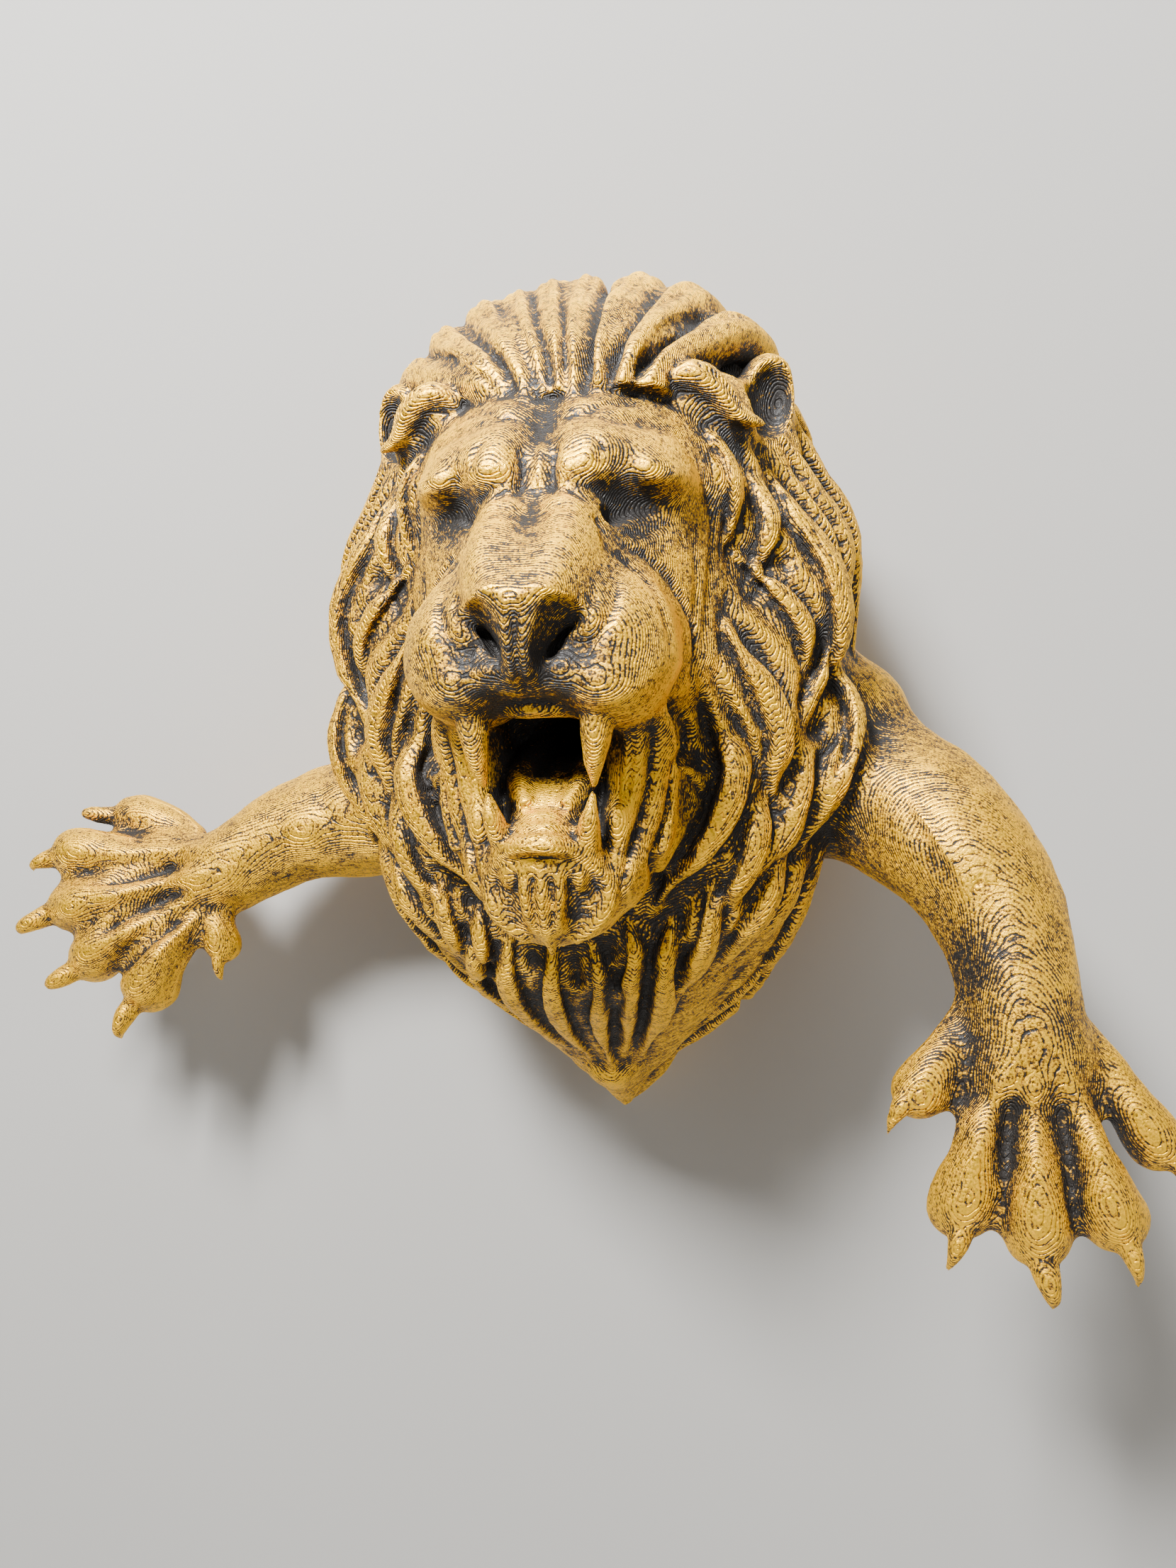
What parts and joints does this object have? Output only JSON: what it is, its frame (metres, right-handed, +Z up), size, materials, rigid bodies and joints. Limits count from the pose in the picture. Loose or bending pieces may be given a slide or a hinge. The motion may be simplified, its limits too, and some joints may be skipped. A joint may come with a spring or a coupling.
{
  "type": "lion wall sculpture",
  "caption": "Roaring lion head with a flowing mane and two reaching clawed forelegs, flat at the back to hang on a wall.",
  "frame": {"origin": "on the flat back, level with the tip of the nose's underside and midway across the mane", "axes": "+Z up the wall, +Y into the wall, so the face looks along -Y, and +X to the viewer's right"},
  "size_m": [0.2759, 0.1139, 0.2058],
  "materials": {
    "gold_over_black": "metallic gold paint dry-brushed over black printed plastic, satin, with black left in the hollows"
  },
  "bodies": {
    "root": {"lion": "gold_over_black"}
  },
  "joints": []
}
